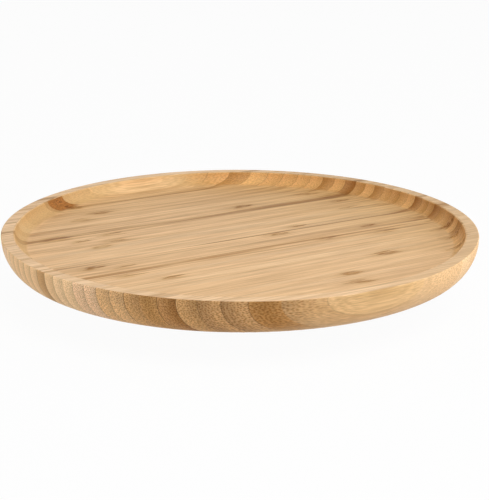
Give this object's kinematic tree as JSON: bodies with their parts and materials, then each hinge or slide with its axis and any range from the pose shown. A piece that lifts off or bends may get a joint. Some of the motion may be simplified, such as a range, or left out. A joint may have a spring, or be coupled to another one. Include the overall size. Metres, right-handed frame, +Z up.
{
  "type": "lazy susan turntable",
  "caption": "Round bamboo tray with a shallow coved recess that spins by hand on a pressed-steel ball bearing over a small footed bamboo base.",
  "frame": {"origin": "on the table under the spin axis, level with the underside of the feet", "axes": "+Z up along the spin axis; +X along the grain of the tray at rest"},
  "size_m": [0.254, 0.254, 0.038],
  "materials": {
    "tray_bamboo": "satin oiled bamboo, strips on edge",
    "base_bamboo": "sanded bamboo",
    "galvanised_sheet": "galvanised",
    "ball_steel": "polished",
    "cage_nylon": "moulded, satin",
    "zinc_screw": "zinc plated",
    "foot_rubber": "matt"
  },
  "bodies": {
    "base": {"base_disc": "base_bamboo", "bearing_lower_plate": "galvanised_sheet", "base_plate_screws": "zinc_screw", "rubber_foot_1": "foot_rubber", "rubber_foot_2": "foot_rubber", "rubber_foot_3": "foot_rubber", "rubber_foot_4": "foot_rubber", "foot_screws": "zinc_screw"},
    "turntable": {"tray": "tray_bamboo", "bearing_upper_plate": "galvanised_sheet", "tray_screws": "zinc_screw"},
    "cage": {"ball_cage": "cage_nylon"},
    "ball_01": {"bearing_ball_01": "ball_steel"},
    "ball_02": {"bearing_ball_02": "ball_steel"},
    "ball_03": {"bearing_ball_03": "ball_steel"},
    "ball_04": {"bearing_ball_04": "ball_steel"},
    "ball_05": {"bearing_ball_05": "ball_steel"},
    "ball_06": {"bearing_ball_06": "ball_steel"},
    "ball_07": {"bearing_ball_07": "ball_steel"},
    "ball_08": {"bearing_ball_08": "ball_steel"},
    "ball_09": {"bearing_ball_09": "ball_steel"},
    "ball_10": {"bearing_ball_10": "ball_steel"},
    "ball_11": {"bearing_ball_11": "ball_steel"},
    "ball_12": {"bearing_ball_12": "ball_steel"}
  },
  "joints": [
    {"name": "turntable_spin", "type": "hinge", "parent": "base", "child": "turntable", "pos_m": [0, 0, 0.01443], "axis": [0, 0, 1], "continuous": true},
    {"name": "cage_orbit", "type": "hinge", "parent": "base", "child": "cage", "pos_m": [0, 0, 0.01443], "axis": [0, 0, 1], "continuous": true},
    {"name": "ball_01_roll", "type": "hinge", "parent": "cage", "child": "ball_01", "pos_m": [0.031, 0, 0.01443], "axis": [1, 0, 0], "continuous": true},
    {"name": "ball_02_roll", "type": "hinge", "parent": "cage", "child": "ball_02", "pos_m": [0.02685, 0.0155, 0.01443], "axis": [0.866, 0.5, 0], "continuous": true},
    {"name": "ball_03_roll", "type": "hinge", "parent": "cage", "child": "ball_03", "pos_m": [0.0155, 0.02685, 0.01443], "axis": [0.5, 0.866, 0], "continuous": true},
    {"name": "ball_04_roll", "type": "hinge", "parent": "cage", "child": "ball_04", "pos_m": [0, 0.031, 0.01443], "axis": [0, 1, 0], "continuous": true},
    {"name": "ball_05_roll", "type": "hinge", "parent": "cage", "child": "ball_05", "pos_m": [-0.0155, 0.02685, 0.01443], "axis": [-0.5, 0.866, 0], "continuous": true},
    {"name": "ball_06_roll", "type": "hinge", "parent": "cage", "child": "ball_06", "pos_m": [-0.02685, 0.0155, 0.01443], "axis": [-0.866, 0.5, 0], "continuous": true},
    {"name": "ball_07_roll", "type": "hinge", "parent": "cage", "child": "ball_07", "pos_m": [-0.031, 0, 0.01443], "axis": [-1, 0, 0], "continuous": true},
    {"name": "ball_08_roll", "type": "hinge", "parent": "cage", "child": "ball_08", "pos_m": [-0.02685, -0.0155, 0.01443], "axis": [-0.866, -0.5, 0], "continuous": true},
    {"name": "ball_09_roll", "type": "hinge", "parent": "cage", "child": "ball_09", "pos_m": [-0.0155, -0.02685, 0.01443], "axis": [-0.5, -0.866, 0], "continuous": true},
    {"name": "ball_10_roll", "type": "hinge", "parent": "cage", "child": "ball_10", "pos_m": [0, -0.031, 0.01443], "axis": [0, -1, 0], "continuous": true},
    {"name": "ball_11_roll", "type": "hinge", "parent": "cage", "child": "ball_11", "pos_m": [0.0155, -0.02685, 0.01443], "axis": [0.5, -0.866, 0], "continuous": true},
    {"name": "ball_12_roll", "type": "hinge", "parent": "cage", "child": "ball_12", "pos_m": [0.02685, -0.0155, 0.01443], "axis": [0.866, -0.5, 0], "continuous": true}
  ],
  "couplings": [
    {"joint": "cage_orbit", "follows": "turntable_spin", "ratio": 0.5},
    {"joint": "ball_01_roll", "follows": "turntable_spin", "ratio": -5.5796},
    {"joint": "ball_02_roll", "follows": "turntable_spin", "ratio": -5.5796},
    {"joint": "ball_03_roll", "follows": "turntable_spin", "ratio": -5.5796},
    {"joint": "ball_04_roll", "follows": "turntable_spin", "ratio": -5.5796},
    {"joint": "ball_05_roll", "follows": "turntable_spin", "ratio": -5.5796},
    {"joint": "ball_06_roll", "follows": "turntable_spin", "ratio": -5.5796},
    {"joint": "ball_07_roll", "follows": "turntable_spin", "ratio": -5.5796},
    {"joint": "ball_08_roll", "follows": "turntable_spin", "ratio": -5.5796},
    {"joint": "ball_09_roll", "follows": "turntable_spin", "ratio": -5.5796},
    {"joint": "ball_10_roll", "follows": "turntable_spin", "ratio": -5.5796},
    {"joint": "ball_11_roll", "follows": "turntable_spin", "ratio": -5.5796},
    {"joint": "ball_12_roll", "follows": "turntable_spin", "ratio": -5.5796}
  ]
}
